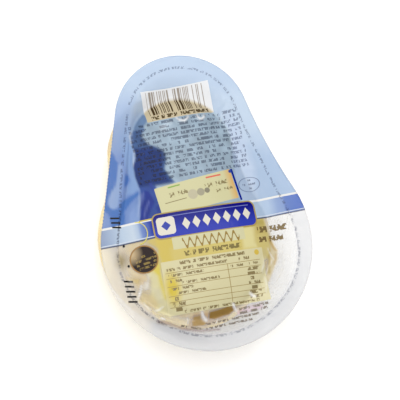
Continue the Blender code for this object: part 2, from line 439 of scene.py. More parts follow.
def box(tree, place, centre, size, corner=0.1, turn=0.0):
    """1 inside a rectangle with rounded corners."""
    seen = local(tree, place, centre, turn=turn)
    half = (size[0] / 2.0 - corner, size[1] / 2.0 - corner, 1.0)
    away = add(tree, "VectorMath", {0: seen}, operation="ABSOLUTE")
    past = add(tree, "VectorMath", {0: away, 1: half}, operation="SUBTRACT")
    past = add(tree, "VectorMath", {0: past, 1: (0.0, 0.0, 0.0)}, operation="MAXIMUM")
    gap = add(tree, "VectorMath", {0: past}, 1, operation="LENGTH")
    return add(tree, "Math", {0: gap, 1: corner}, operation="LESS_THAN")


def disc(tree, place, centre, size, soft=0.04):
    """1 inside an ellipse of this width and height, fading out over the soft share of its radius."""
    seen = local(tree, place, centre, (size[0] / 2.0, size[1] / 2.0))
    gap = add(tree, "VectorMath", {0: seen}, 1, operation="LENGTH")
    return add(tree, "MapRange", {0: gap, 1: 1.0, 2: 1.0 - soft})


def hoop(tree, place, centre, size, line):
    """1 on an ellipse's outline, drawn line millimetres wide."""
    seen = local(tree, place, centre, (size[0] / 2.0, size[1] / 2.0))
    gap = add(tree, "VectorMath", {0: seen}, 1, operation="LENGTH")
    return add(tree, "Math", {0: gap, 1: 1.0, 2: line / min(size)}, operation="COMPARE")


def print_lines(tree, place, centre, size, lines, letter=1.7, weight=0.3, fill=0.5, turn=0.0):
    """1 on rows of broken strokes, the size of small print, inside a rectangle."""
    seen = local(tree, place, centre, turn=turn)
    x = add(tree, "SeparateXYZ", {0: seen})
    rows = {0: x.node.outputs[1], 1: lines / size[1], 2: 0.5 * (lines % 2) + 40.0}
    row = add(tree, "Math", rows, operation="MULTIPLY_ADD")
    number = add(tree, "Math", {0: row}, operation="FLOOR")
    within = add(tree, "Math", {0: row}, operation="FRACT")
    band = add(tree, "Math", {0: within, 1: 0.5, 2: weight}, operation="COMPARE")
    spot = add(tree, "CombineXYZ", {0: x, 1: number, 2: within})
    strokes = add(tree, "Mapping", {"Vector": spot, "Scale": (letter, 7.3, 1.6)})
    strokes = add(tree, "TexNoise", {"Vector": strokes, "Scale": 1.0, "Detail": 1.0, "Roughness": 0.7})
    strokes = add(tree, "Math", {0: strokes, 1: fill}, operation="GREATER_THAN")
    words = add(tree, "Mapping", {"Vector": spot, "Scale": (0.5, 3.7, 0.0)})
    words = add(tree, "TexNoise", {"Vector": words, "Scale": 1.0, "Detail": 0.0})
    words = add(tree, "Math", {0: words, 1: 0.42}, operation="GREATER_THAN")
    marks = add(tree, "Math", {0: strokes, 1: words}, operation="MULTIPLY")
    marks = add(tree, "Math", {0: marks, 1: band}, operation="MULTIPLY")
    return add(tree, "Math", {0: marks, 1: box(tree, place, centre, size, turn=turn)}, operation="MULTIPLY")


def ink(tree, under, mask, colour, cover=1.0, blend="MIX"):
    """Lays one ink, a hex colour or a node's, over the paint so far: its colour and its cover."""
    shade = add(tree, "Mix", {0: mask, 6: under[0], 7: colour}, 2, data_type="RGBA", blend_type=blend)
    hides = add(tree, "Mix", {0: mask, 2: under[1], 3: cover}, data_type="FLOAT")
    return shade, hides


def lay(tree, place, film, marks):
    """Lays marks over the paint so far, each as what draws it, its colour, its cover and its sizes."""
    for draw, colour, cover, *sizes in marks:
        film = ink(tree, film, draw(tree, place, *sizes), colour, cover)
    return film


# ---------------------------------------------------------------- paint kept on the lid film's points
def painted(points, ground, layers, thicker=0.0):
    """A colour and its cover for each point: the ground, with more cover where it is thicker, and
    then each layer's outline filled over it."""
    paint = np.tile((*linear(ground[0])[:3], ground[1]), (len(points), 1))
    paint[:, 3] += thicker
    for outline, soft, colour, cover, strength in layers:
        share = (inside(points, outline, soft) * strength)[:, None]
        paint += (np.array((*linear(colour)[:3], cover)) - paint) * share
    return paint


# The blue half, each layer as its outline, softness, colour, cover and strength.
BLUE_GROUND = ("#8ca2bc", 0.8)
BLUE_LAYERS = [
    # painted shade darkens the left flank towards the body, with a paler fold beside the cheese painted as
    # lit
    ([(-60, 46), (-24, 46), (-23, 20), (-26, -14), (-60, -14)], 16.0, "#6480ae", 0.86, 0.9),
    ([(-60, 26), (-27, 26), (-24, 8), (-26, -14), (-60, -14)], 5.0, "#6079aa", 0.9, 0.9),
    # the right flank, painted lighter at the top and beside the cheese and in shade lower down
    ([(15, 46), (44, 46), (44, 18), (22, 18)], 8.0, "#99acc1", 0.8, 0.8),
    ([(24, 20), (60, 20), (60, -14), (24, -14)], 16.0, "#7c96b5", 0.8, 0.95),
    ([(20.5, 36), (17.2, 18.8), (15.6, 10.9), (16, -6), (25, -6), (27, 10), (24, 30)], 3.0,
     "#98aac3", 0.8, 0.95),
    ([(-28, 30), (-22.8, 29.3), (-23, 23.3), (-24.7, 19.7), (-24.9, 16.1), (-24.5, 11.6), (-25, 9),
      (-27.8, 7.5), (-30.6, 7.8), (-27.4, 13.7), (-28.3, 21.3)], 1.6, "#718cb4", 0.9, 0.9),
    # painted shade in dark patches where the film lies over the cheese's left shoulder and the pocket's
    # shaded wall shows through, with a pale lobe and a paler patch painted as reflection and light
    ([(-33.9, 27.5), (-33, 26.7), (-32.4, 25.4), (-32.3, 23.3), (-31.2, 21.6), (-32.1, 18.4), (-33.3, 14.8),
      (-34.4, 12), (-36.9, 9.3), (-38.4, 6.6), (-38.8, 4.6), (-38.3, 2.9), (-37.1, 2.2), (-35.2, 2.6),
      (-33.3, 4.4), (-31.7, 5.6), (-26.6, 7.4), (-24.9, 8.2), (-25.1, 6.6), (-29.5, 3.6), (-32.6, 0.4),
      (-32.9, -1.9), (-33.7, -5.5), (-39.5, -5.2), (-39.5, 0.2), (-41.5, 2.2), (-46, 3.2), (-42, 20)],
     0.7, "#385f9c", 0.94, 1.0),
    ([(-29.3, 16.4), (-27.9, 15.8), (-27.8, 13.7), (-29.1, 11.9), (-30.6, 10.7), (-30.4, 12.7)],
     0.8, "#3d609d", 0.94, 0.95),
    ([(-30.8, -0.8), (-27, 2.8), (-25.4, 2.2), (-27.4, -5.5), (-32, -5.5)], 1.2, "#6e86b2", 0.9, 0.9),
    ([(-31.5, 21), (-29.5, 20.6), (-32, 11.6), (-35.2, 2.6), (-37.1, 2.2), (-38.3, 2.9), (-38.8, 4.6),
      (-38.4, 6.6), (-36.9, 9.3), (-34.4, 12), (-33.3, 14.8)], 0.9, "#768db2", 0.9, 0.95),
]
# The clear half: bare film, the cheese's own tones seen through it, painted shade and highlights, and the
# gold ground under the plate.
CLEAR_GROUND = ("#b6b7ba", 0.3)
CLEAR_LAYERS = [
    # the left flank, cream over the cheese, with a painted grey shade, a few tan facets and white facets
    # painted as highlights
    ([(-60, -12), (-34.5, -12), (-37, -22), (-34.5, -33), (-29.5, -43), (-34, -56), (-60, -52)], 5.0,
     "#cdc6bc", 0.5, 0.9),
    ([(-60, -12), (-40.5, -12), (-43, -26), (-60, -32)], 2.5, "#cfcac1", 0.5, 0.9),
    # cream between the seal and the table
    ([(-29, -27.4), (-23, -25), (-21.6, -38), (-21.6, -47.6), (-27.2, -44.4), (-29, -38),
      (-27.8, -31)], 2.0, "#ccc697", 0.72, 0.9),
    ([(-39.4, -17.1), (-36.7, -17), (-35.2, -19.7), (-36.5, -22.6), (-38.7, -23.6), (-40.2, -21.6)], 3.4,
     "#8a7c58", 0.8, 0.9),
    ([(-37.1, -27.7), (-31, -29), (-32.8, -32.1), (-34.2, -30.7)], 1.6, "#c7b168", 0.6, 0.8),
    ([(-32.1, -34), (-28, -36.6), (-25.7, -40.6), (-27.1, -42.6), (-30.2, -41.1), (-33.7, -38.3)], 1.6,
     "#c6b68a", 0.7, 0.85),
    ([(-30.1, -30.4), (-28.4, -31.9), (-28.4, -34.2), (-31, -34.2), (-31.8, -32.9)], 1.2,
     "#cbc7ba", 0.7, 0.85),
    ([(-27.6, -34), (-24.4, -35), (-23.6, -42), (-26, -40.4)], 1.6, "#c4c1a4", 0.6, 0.8),
    # the clear window right of the cheese
    ([(24, -10), (36.5, -10), (39, -22), (36, -36), (27, -46), (20, -49), (26, -34)], 3.0,
     "#d6d7d9", 0.3, 0.9),
    ([(-22.5, -12), (26.4, -10), (27.2, -21.5), (25.5, -25.5), (-22, -26.5)], 1.4,
     "#b9a962", 0.86, 1.0),
    ([(-27.3, -14.3), (-22.4, -11.3), (-13.5, -13.5), (-12.5, -17), (-17, -19), (-17, -25.2), (-21.7, -26.7),
      (-22.7, -18.2)], 2.2, "#b5a24d", 0.9, 0.9),
    ([(15, -15.5), (21.5, -15.2), (20.9, -24.8), (14.3, -24.4)], 1.6, "#c2ba87", 0.9, 0.95),
    ([(21.2, -12.7), (26.2, -12.9), (26.9, -19.8), (26.9, -24.6), (22.3, -24.7), (20.3, -22.3)], 2.4,
     "#a9985b", 0.9, 0.9),
    ([(19.6, -13), (25.9, -13.2), (26.2, -15), (20.2, -15.2)], 1.6, "#9c8e4d", 0.9, 0.8),
    ([(-24.6, -18.7), (-22.2, -20.4), (-22.6, -30.2), (-22.4, -38), (-21.4, -40.3), (-23.2, -39.1),
      (-24.2, -33), (-24.4, -29.3), (-26, -27.3), (-27.7, -26.9)], 1.5, "#bbab42", 0.9, 0.95),
    # the pleated film at the cheese's right edge
    ([(24.3, -22.5), (28, -19), (28.8, -24.4), (29.8, -27.2), (29, -31.2), (26.8, -34.4), (22.6, -40.8),
      (21.6, -38), (24.5, -31)], 1.0, "#afa17b", 0.85, 0.95),
    ([(20.5, -19), (26.8, -19), (26.6, -25.5), (24.6, -30.2), (21, -31)], 1.2, "#b5a769", 0.88, 0.9),
    ([(26.3, -21.4), (27.3, -21.4), (29.2, -27.2), (28, -27.2)], 0.7, "#9a7f42", 0.9, 0.9),
    ([(25.6, -26.4), (26.5, -26.2), (24.4, -36.8), (23.4, -36.4)], 0.7, "#9e8a4b", 0.9, 0.85),
    ([(28.2, -28.4), (29, -28.6), (27.6, -33.2), (26.8, -33)], 0.6, "#a48c60", 0.9, 0.85),
    # rind patches at the foot, a pinkish patch, and a grey band along the cheese's foot that is painted
    # shadow
    ([(-13.3, -50.6), (-12.1, -48.4), (-8.9, -48.4), (-8.5, -50.2), (-6.5, -52.7), (-9, -53.3),
      (-13.8, -52.9)], 0.9, "#8d7030", 0.9, 0.9),
    ([(-5.4, -47.9), (5.2, -46.6), (6.2, -49.2), (3.5, -50.6), (-3.5, -51.6), (-5.8, -50.9)], 0.9,
     "#785910", 0.95, 0.95),
    ([(6.7, -49.4), (10.4, -48.4), (18.5, -48.1), (17.9, -50.8), (6.6, -51.5)], 1.0,
     "#b99ead", 0.6, 0.85),
    ([(-28.2, -47.1), (-23.4, -48.7), (-19.5, -51), (-16.4, -52.8), (-11.3, -54.5), (-2, -55.6),
      (-2.2, -56.6), (-11.4, -55.8), (-17.2, -54), (-23.2, -50.7), (-28.1, -48.9)], 1.0,
     "#7b6764", 0.7, 0.85),
]
# Over the cheese the blue film takes the cheese's grey, and is darkest in patches on its left.
WET_GROUND = ("#8596a4", 0.93)
ON_CHEESE_LAYERS = [
    ([(-18.9, 41.8), (-16.8, 42.8), (-15, 40.2), (-15.4, 37.9), (-17.3, 35.9), (-17.6, 33.3), (-21.5, 33.8),
      (-22.6, 38.3)], 1.0, "#506787", 1.0, 0.9),
    ([(-17.9, 34.6), (-19.2, 31.5), (-17.4, 27.6), (-13.2, 25.2), (-10.6, 22.2), (-11, 18.8), (-12.4, 15.6),
      (-11.2, 12.4), (-9.2, 9), (-17.7, 8.9), (-17.2, -6), (-27.6, -6), (-25.5, 3.1), (-24.5, 8.3),
      (-25.4, 14.3), (-25.3, 19.9), (-23.9, 21.7), (-23.4, 24), (-24.3, 30), (-24.5, 33.1), (-22.9, 34.6)],
     0.9, "#314a71", 1.0, 1.0),
    ([(-25.4, 27), (-16, 26), (-12, 23.4), (-12, 19.6), (-13.4, 15.6), (-11.6, 11.6), (-10.4, 9),
      (-26, 9)], 2.0, "#001e59", 1.0, 0.92),
    ([(-17.7, 34.4), (-19.7, 33), (-20.2, 31.8), (-19, 28), (-24, 28), (-24.5, 33.1), (-22.9, 34.6)],
     1.5, "#2c4672", 1.0, 0.8),
    ([(-24.8, 9.5), (-17.7, 8.9), (-17, -6), (-27.6, -6), (-25.5, 3.1)], 0.9, "#213978", 1.0, 0.95),
    ([(-20.4, 10.7), (-19, 10.5), (-18.9, 7.1), (-19.7, 7.6)], 0.7, "#1c2e74", 1.0, 0.9),
    ([(-22.7, 7.9), (-21, 7), (-20.1, 4.4), (-19.4, 2.2), (-20.4, 0.3), (-22, -1.4), (-23.7, -5.5),
      (-27.3, -6.2), (-26.2, -0.3), (-25, 2.4), (-23.2, 4.2)], 0.7, "#0f236f", 1.0, 0.95),
    ([(-19.7, -0.4), (-18, 0.4), (-17.1, 0), (-17.3, -2.7), (-19.5, -3.1), (-19.2, -2)], 0.6,
     "#162972", 1.0, 0.9),
    ([(-23.3, 7.4), (-23, 6.4), (-25.3, 1), (-25.6, 1.8), (-24.5, 5.9)], 0.6, "#455087", 1.0, 0.85),
    ([(-21.8, 3.3), (-21.4, 2.6), (-22.8, 0.2), (-25.1, -3.8), (-25.4, -3.4), (-23.8, 0.4)], 0.6,
     "#434e87", 1.0, 0.85),
]

# Flanks of the blue half where the film spans from the cheese to the seal without lying on it.
FREE_LEFT = [
    (-60, 42), (-25.4, 40), (-24.5, 33.1), (-24.3, 30), (-23.4, 24), (-23.9, 21.7), (-25.3, 19.9),
    (-25.4, 14.3), (-24.5, 8.3), (-25.5, 3.1), (-27.6, -6), (-29, -14), (-60, -14),
]
FREE_RIGHT = [(60, 40), (19.6, 33), (19.9, 24.5), (18.7, 17.7), (18, 10.9), (17.6, -14), (60, -14)]
# A browner patch of rind at the foot of the cheese.
BROWN_PATCH = [
    (-13.8, -49.9), (-11.7, -47.6), (-4.9, -48.2), (5.8, -47.6), (3.7, -51.3), (-5.7, -52.8), (-13.5, -52.1),
]


# ---------------------------------------------------------------- print
GREY_INK = (0.4, 0.4, 0.44, 1.0)  # laid over by multiplying
BROWN_INK = "#766948"
RULE_INK = "#87764a"
LABEL_INK = "#786e4d"
BLACK_STAMP = "#010000"


def bar_patch(tree, place, film):
    """Upright bars over a patch that is white over air and buff where it lies on the cheese."""
    wet = add(tree, "Attribute", out=2, attribute_name="wet")
    patch = add(tree, "Mix", {0: wet, 6: "#c5c6c8", 7: "#ada186"}, 2, data_type="RGBA")
    film = ink(tree, film, box(tree, place, (0.9, 44.5), (30.4, 14.0), 0.2), patch, 0.97)
    # Strips about a third of a millimetre wide, dark at random.
    bars = add(tree, "SeparateXYZ", {0: place})
    bars = add(tree, "Math", {0: bars, 1: 2.9}, operation="MULTIPLY")
    bars = add(tree, "Math", {0: bars}, operation="FLOOR")
    bars = add(tree, "TexWhiteNoise", {"W": bars}, noise_dimensions="1D")
    bars = add(tree, "Math", {0: bars, 1: 0.56}, operation="GREATER_THAN")
    bars = add(tree, "Math", {0: bars, 1: box(tree, place, (0.9, 45.6), (26.4, 10.6))}, operation="MULTIPLY")
    tone = add(tree, "Mix", {0: wet, 6: "#877f76", 7: "#3c2d18"}, 2, data_type="RGBA")
    film = ink(tree, film, bars, tone)
    figures = print_lines(tree, place, (0.9, 38.9), (26.0, 1.9), 1, 1.0, 0.46, 0.46)
    return ink(tree, film, figures, "#4b3f2a")


def cream_label(tree, place, film):
    """A cream label with a dark blue edge behind it, an orange glow at its right end and plain marks."""
    film = ink(tree, film, box(tree, place, (17.4, 3.4), (0.9, 14.4), 0.2, 5.0), "#001371")
    label = box(tree, place, (-0.7, 2.8), (34.6, 13.2), 0.4, 4.0)
    film = ink(tree, film, label, "#b0ac86")
    along = add(tree, "SeparateXYZ", {0: local(tree, place, (-0.7, 2.8), turn=4.0)})
    glow = add(tree, "MapRange", {0: along, 1: 13.6, 2: 17.8, 3: 0.0, 4: 0.9})
    glow = add(tree, "Math", {0: glow, 1: label}, operation="MULTIPLY")
    film = ink(tree, film, glow, "#b7873f")
    return lay(tree, place, film, [
        (box, "#b95c4a", 1.0, (8.0, 8.7), (6.8, 0.7), 0.1, 2.0),
        (box, "#749244", 1.0, (-9.9, 7.6), (5.4, 0.6), 0.1, 4.0),
        (disc, "#293b82", 1.0, (16.0, 9.6), (1.5, 1.5)),
        (disc, "#a19b82", 1.0, (-2.6, 2.6), (4.4, 4.4)),
        (disc, "#8a8570", 1.0, (1.0, 2.9), (3.4, 3.4)),
        (disc, "#736e5c", 1.0, (3.9, 3.1), (2.4, 2.4)),
        (box, LABEL_INK, 1.0, (-10.4, 1.2), (9.6, 0.35), 0.1, 4.0),
        (print_lines, LABEL_INK, 1.0, (8.4, 5.3), (10.6, 2.5), 1, 0.8, 0.36, 0.5, 4.0),
        (print_lines, LABEL_INK, 1.0, (11.6, 2.3), (7.6, 1.8), 1, 0.8, 0.36, 0.5, 4.0),
        (print_lines, LABEL_INK, 1.0, (-8.7, 4.2), (8.4, 2.6), 1, 0.8, 0.36, 0.5, 4.0),
    ])


def head_print(tree, place, film):
    """The print over the head: bars, small print, cream label, oval mark and stamped bars."""
    film = bar_patch(tree, place, film)
    text = print_lines(tree, place, (1.0, 24.0), (49.0, 26.6), 13, 1.7, 0.32, 0.45, -0.6)
    film = ink(tree, film, text, GREY_INK, 0.95, "MULTIPLY")
    film = cream_label(tree, place, film)
    film = ink(tree, film, hoop(tree, place, (23.2, 2.5), (9.6, 6.4), 0.3), "#626f87")
    for y, wide in ((4.4, 2.4), (2.6, 6.0), (0.8, 2.0)):
        strokes = print_lines(tree, place, (23.2, y), (wide, 1.3), 1, 1.4, 0.34, 0.44)
        film = ink(tree, film, strokes, GREY_INK, 0.9, "MULTIPLY")
    for y in (-0.6, -2.6, -4.6):
        film = ink(tree, film, box(tree, place, (-37.4, y), (3.9, 0.75), 0.1, -11.0), BLACK_STAMP)
    return film


def plate_print(tree, lower, film):
    """The blue plate, dark along its top, with its gold edge and a row of cream lozenges."""
    film = ink(tree, film, box(tree, lower, (-0.6, -9.4), (45.8, 11.6), 2.9), "#927f45")
    depth = add(tree, "SeparateXYZ", {0: lower}, 1)
    fall = add(tree, "MapRange", {0: depth, 1: -12.2, 2: -5.0, 3: 0.0, 4: 1.0})
    enamel = add(tree, "Mix", {0: fall, 6: "#263192", 7: "#000064"}, 2, data_type="RGBA")
    film = ink(tree, film, box(tree, lower, (-0.6, -9.3), (44.6, 10.4), 2.4), enamel)
    film = ink(tree, film, box(tree, lower, (1.4, -5.5), (36.0, 0.35)), "#60669c")
    film = ink(tree, film, box(tree, lower, (-17.8, -9.4), (7.9, 7.7), 1.6), "#bdb8ac")
    # Lozenges 4.5 mm apart.
    seen = add(tree, "SeparateXYZ", {0: local(tree, lower, (4.4, -9.4), turn=1.0)})
    apart = add(tree, "Math", {0: seen, 1: 2.25}, operation="PINGPONG")
    rise = add(tree, "Math", {0: seen.node.outputs[1]}, operation="ABSOLUTE")
    lozenge = add(tree, "Math", {0: rise, 1: 0.66, 2: apart}, operation="MULTIPLY_ADD")
    lozenge = add(tree, "Math", {0: lozenge, 1: 1.75}, operation="LESS_THAN")
    row = box(tree, lower, (4.4, -9.4), (31.4, 6.0))
    lozenge = add(tree, "Math", {0: lozenge, 1: row}, operation="MULTIPLY")
    film = ink(tree, film, lozenge, "#bcb7aa")
    return ink(tree, film, box(tree, lower, (-17.8, -9.4), (2.9, 2.9), 0.1, 45.0), "#2e398b")


def wave_panel(tree, lower, film):
    """A pale panel with a brown wave, and a row of small marks under it."""
    film = ink(tree, film, box(tree, lower, (-0.6, -17.5), (31.8, 5.2), 0.2), "#bcb893", 0.85)
    turn = add(tree, "SeparateXYZ", {0: lower})
    depth = turn.node.outputs[1]
    turn = add(tree, "Math", {0: turn, 1: 1.95}, operation="MULTIPLY")
    wave = add(tree, "Math", {0: turn}, operation="SINE")
    wave = add(tree, "Math", {0: wave, 1: -1.75, 2: depth}, operation="MULTIPLY_ADD")
    wave = add(tree, "Math", {0: wave, 1: -18.0, 2: 0.75}, operation="COMPARE")
    row = box(tree, lower, (0.3, -18.0), (25.0, 5.2))
    wave = add(tree, "Math", {0: wave, 1: row}, operation="MULTIPLY")
    film = ink(tree, film, wave, "#7f6831")
    marks = print_lines(tree, lower, (0.2, -22.4), (25.0, 2.5), 1, 0.95, 0.42, 0.46)
    return ink(tree, film, marks, "#695d33")


def ruled_table(tree, lower, film):
    """A ruled table: cream, yellower in a soft patch on its left, with rules, rows of strokes and a gold
    dot.
    """
    film = ink(tree, film, box(tree, lower, (-0.5, -35.9), (44.8, 22.6), 0.3), "#bab38e", 0.93)
    film = ink(tree, film, disc(tree, lower, (-19.6, -36.0), (9.0, 19.0), 0.7), "#b9a53e", 0.93)
    rules = ((-29.6, 41.8), (-32.0, 41.8), (-35.4, 42.0), (-39.4, 42.0), (-41.8, 42.0), (-44.0, 42.0))
    for y, wide in rules:
        film = ink(tree, film, box(tree, lower, (-0.8, y), (wide, 0.24)), RULE_INK)
    film = ink(tree, film, box(tree, lower, (5.2, -38.0), (0.3, 17.0)), RULE_INK)
    for centre, size, lines, letter in (
        ((-0.7, -26.0), (28.6, 2.0), 1, 1.1),
        ((-7.8, -28.3), (26.4, 1.7), 1, 1.5),
        ((12.9, -28.2), (4.8, 1.9), 1, 1.1),
        ((-13.0, -30.8), (15.2, 1.6), 1, 1.6),
        ((9.3, -30.8), (5.6, 1.5), 1, 1.4),
        ((16.8, -30.7), (4.0, 1.5), 1, 1.4),
        ((-17.8, -33.2), (5.2, 1.7), 1, 1.3),
        ((-7.2, -34.4), (16.4, 1.5), 1, 1.6),
        ((-15.4, -36.5), (9.4, 1.6), 1, 1.5),
        ((-11.6, -38.4), (12.0, 1.5), 1, 1.6),
        ((-17.8, -42.8), (5.4, 6.6), 3, 1.5),
        ((16.2, -38.8), (5.4, 13.6), 7, 1.1),
        ((0.6, -46.3), (33.0, 1.5), 1, 1.6),
    ):
        strokes = print_lines(tree, lower, centre, size, lines, letter, 0.36, 0.45)
        film = ink(tree, film, strokes, BROWN_INK)
    return ink(tree, film, disc(tree, lower, (19.1, -26.4), (2.2, 2.4)), "#b19943")


def round_mark(tree, place, film):
    """A bronze ring round a dark brown face, with worn gold strokes and a gleam on its upper left."""
    centre = (-29.3, -20.6)
    film = ink(tree, film, disc(tree, place, centre, (12.4, 12.4)), "#876534")
    face = disc(tree, place, centre, (11.2, 11.2))
    film = ink(tree, film, face, "#160300")
    strokes = print_lines(tree, place, (-28.4, -21.6), (9.0, 6.4), 4, 1.9, 0.3, 0.46, 6.0)
    strokes = add(tree, "Math", {0: strokes, 1: face}, operation="MULTIPLY")
    film = ink(tree, film, strokes, "#766431", 0.9)
    gleam = disc(tree, place, (-34.2, -17.2), (10.4, 11.0), 0.85)
    gleam = add(tree, "Math", {0: gleam, 1: face}, operation="MULTIPLY")
    return ink(tree, film, gleam, "#aa9571")


def foot_print(tree, place, lower, film):
    """The print over the body: panel, table, round mark, strokes, small print and stamped marks."""
    film = wave_panel(tree, lower, film)
    film = ruled_table(tree, lower, film)
    film = round_mark(tree, place, film)
    # Bold strokes right of the plate.
    film = lay(tree, lower, film, [
        (print_lines, "#685735", 0.95, (27.6, -17.0), (14.4, 3.3), 1, 0.62, 0.4, 0.45),
        (print_lines, "#685735", 0.95, (26.5, -21.3), (11.8, 2.9), 1, 0.62, 0.4, 0.45),
    ])
    # Small print below the table, and plain dots and bars stamped in black.
    film = lay(tree, place, film, [
        (print_lines, "#665d54", 0.88, (12.8, -50.2), (12.8, 3.4), 2, 1.4, 0.34, 0.45, 0.0),
        (print_lines, "#665d54", 0.88, (2.6, -52.7), (23.4, 1.4), 1, 1.4, 0.34, 0.45, -0.5),
        (print_lines, "#665d54", 0.88, (0.6, -54.6), (20.4, 1.4), 1, 1.4, 0.34, 0.45, -0.5),
        (print_lines, "#665d54", 0.88, (-15.8, -52.6), (8.8, 1.4), 1, 1.4, 0.34, 0.45, -21.0),
        (disc, BLACK_STAMP, 1.0, (-36.3, -13.1), (1.0, 1.2)),
        (disc, BLACK_STAMP, 1.0, (-36.1, -21.9), (1.0, 1.2)),
    ])
    for y in (-28.2, -30.4, -32.6, -34.8, -37.0):
        film = ink(tree, film, box(tree, place, (-37.6, y), (3.9, 0.8), 0.1, -12.0), BLACK_STAMP)
    return film


def stripe_print(tree, place, across, film):
    """A white hairline, the pale stripe with its shaded bands, and its pale and dark lower edges."""
    share = add(tree, "Math", {0: across, 1: 1 / 92.0, 2: 0.5}, operation="MULTIPLY_ADD")
    stripe = add(tree, "ValToRGB", {0: share})
    ramp = stripe.node.color_ramp
    stops = (
        (0.02, "#7586a3"), (0.11, "#9faebf"), (0.16, "#a9b5c2"), (0.185, "#95a5bb"),
        (0.2, "#6379a9"), (0.25, "#002388"), (0.72, "#98a8b9"), (0.82, "#90a3bb"),
        (0.86, "#7288ae"), (0.89, "#687faa"), (0.9, "#4663a1"), (0.96, "#3657a0"),
    )
    while len(ramp.elements) < len(stops):
        ramp.elements.new(1.0)
    for element, (at, shade) in zip(ramp.elements, stops):
        element.position = at
        element.color = linear(shade)
    film = ink(tree, film, box(tree, place, (0.0, -8.85), (100.0, 7.9), 0.1, STRIPE_TURN), stripe, 0.92)
    return lay(tree, place, film, [
        (box, "#c4c3c0", 1.0, (0.0, -4.85), (100.0, 0.9), 0.1, STRIPE_TURN),
        (box, "#a99745", 1.0, (-24.6, -4.3), (6.6, 0.6), 0.1, -0.6),
        (box, "#acb3be", 1.0, (0.0, -12.1), (100.0, 0.4), 0.1, STRIPE_TURN),
        (box, "#454a5f", 0.9, (0.0, -12.8), (100.0, 0.55), 0.1, STRIPE_TURN),
    ])


def rim_print(tree, height, film):
    """One row of small print round the rim, a little stronger at the foot."""
    ways = add(tree, "Attribute", out=2, attribute_name="round_rim")
    from_rim = add(tree, "Attribute", out=2, attribute_name="from_rim")
    edge = add(tree, "CombineXYZ", {0: ways, 1: from_rim})
    rows = print_lines(tree, edge, (190.0, 5.5), (372.0, 1.6), 1, 1.25, 0.34, 0.48)
    strength = add(tree, "MapRange", {0: height, 1: -16.0, 2: -10.0, 3: 0.95, 4: 0.85})
    rows = add(tree, "Math", {0: rows, 1: strength}, operation="MULTIPLY")
    return ink(tree, film, rows, GREY_INK, 0.92, "MULTIPLY")


def lid_film_material(name, at_head):
    """Polyester lidding film, reverse printed: glossy, blue at the head and clear at the foot.

    The print is too large for one material, so the head has one and the foot the other, and they
    meet in the stripe, where both are the same.
    """
    material, tree, shader = new_material(name, Roughness=0.16, IOR=1.5, Specular_IOR_Level=0.12)
    # Millimetres in the plane of the print.
    spot = add(tree, "TexCoord", out=3)
    askew = (0.0, 0.0, math.radians(PRINT_TURN))
    values = {"Vector": spot, "Rotation": askew, "Scale": (1000.0, 1000.0, 0.0)}
    place = add(tree, "Mapping", values, vector_type="POINT")
    lower = local(tree, place, (1.1, 0.0), turn=LOWER_TURN)
    across = add(tree, "SeparateXYZ", {0: place})
    height = across.node.outputs[1]

    # The blue field ends at the stripe's lower edge.
    blue = add(tree, "Attribute", attribute_name="blue")
    clear = add(tree, "Attribute", attribute_name="clear")
    level = add(tree, "Math", {0: across, 1: 0.01, 2: height}, operation="MULTIPLY_ADD")
    upper = add(tree, "Math", {0: level, 1: -12.8}, operation="GREATER_THAN")
    colour = add(tree, "Mix", {0: upper, 6: clear, 7: blue}, 2, data_type="RGBA")
    covers = {0: upper, 2: clear.node.outputs[3], 3: blue.node.outputs[3]}
    film = colour, add(tree, "Mix", covers, data_type="FLOAT")

    film = stripe_print(tree, place, across, film)
    if at_head:
        film = head_print(tree, place, film)
    film = plate_print(tree, lower, film)
    if not at_head:
        film = foot_print(tree, place, lower, film)

    # A thin gold loop left of the plate, open to the left.
    loop = hoop(tree, place, (-29.8, -9.1), (8.8, 9.8), 0.34)
    right_half = add(tree, "Math", {0: across, 1: -29.6}, operation="GREATER_THAN")
    loop = add(tree, "Math", {0: loop, 1: right_half}, operation="MULTIPLY")
    film = ink(tree, film, loop, "#b8ae40")
    film = rim_print(tree, height, film)

    # Painted glints turn the creases white, and hide more.
    crease_glint = add(tree, "Attribute", out=2, attribute_name="crease_glint")
    shade, hides = ink(tree, film, crease_glint, "#d7d7d8", 0.9)
    tree.links.new(shade, shader.inputs["Base Color"])
    tree.links.new(hides, shader.inputs["Alpha"])
    # A soft ripple, about 3 mm long.
    ripple = add(tree, "TexNoise", {"Vector": place, "Scale": 0.35, "Detail": 3.0})
    bump = add(tree, "Bump", {"Strength": 0.12, "Distance": 0.0006, "Height": ripple})
    tree.links.new(bump, shader.inputs["Normal"])
    return material


def clear_film_material(name, cover, white):
    """Thermoformed polyamide and polyethylene: clear and glossy, with painted white glints along its
    creases.
    """
    material, tree, shader = new_material(
        name, Base_Color=linear("#f4f6f8"), Roughness=0.14, IOR=1.5, Specular_IOR_Level=0.3
    )
    crease_glint = add(tree, "Attribute", out=2, attribute_name="crease_glint")
    hides = add(tree, "Mix", {0: crease_glint, 2: cover, 3: white}, data_type="FLOAT")
    tree.links.new(hides, shader.inputs["Alpha"])
    # A soft ripple, about 4 mm long.
    spot = add(tree, "TexCoord", out=3)
    ripple = add(tree, "TexNoise", {"Vector": spot, "Scale": 260.0, "Detail": 3.0})
    bump = add(tree, "Bump", {"Strength": 0.15, "Distance": 0.0006, "Height": ripple})
    tree.links.new(bump, shader.inputs["Normal"])
    return material


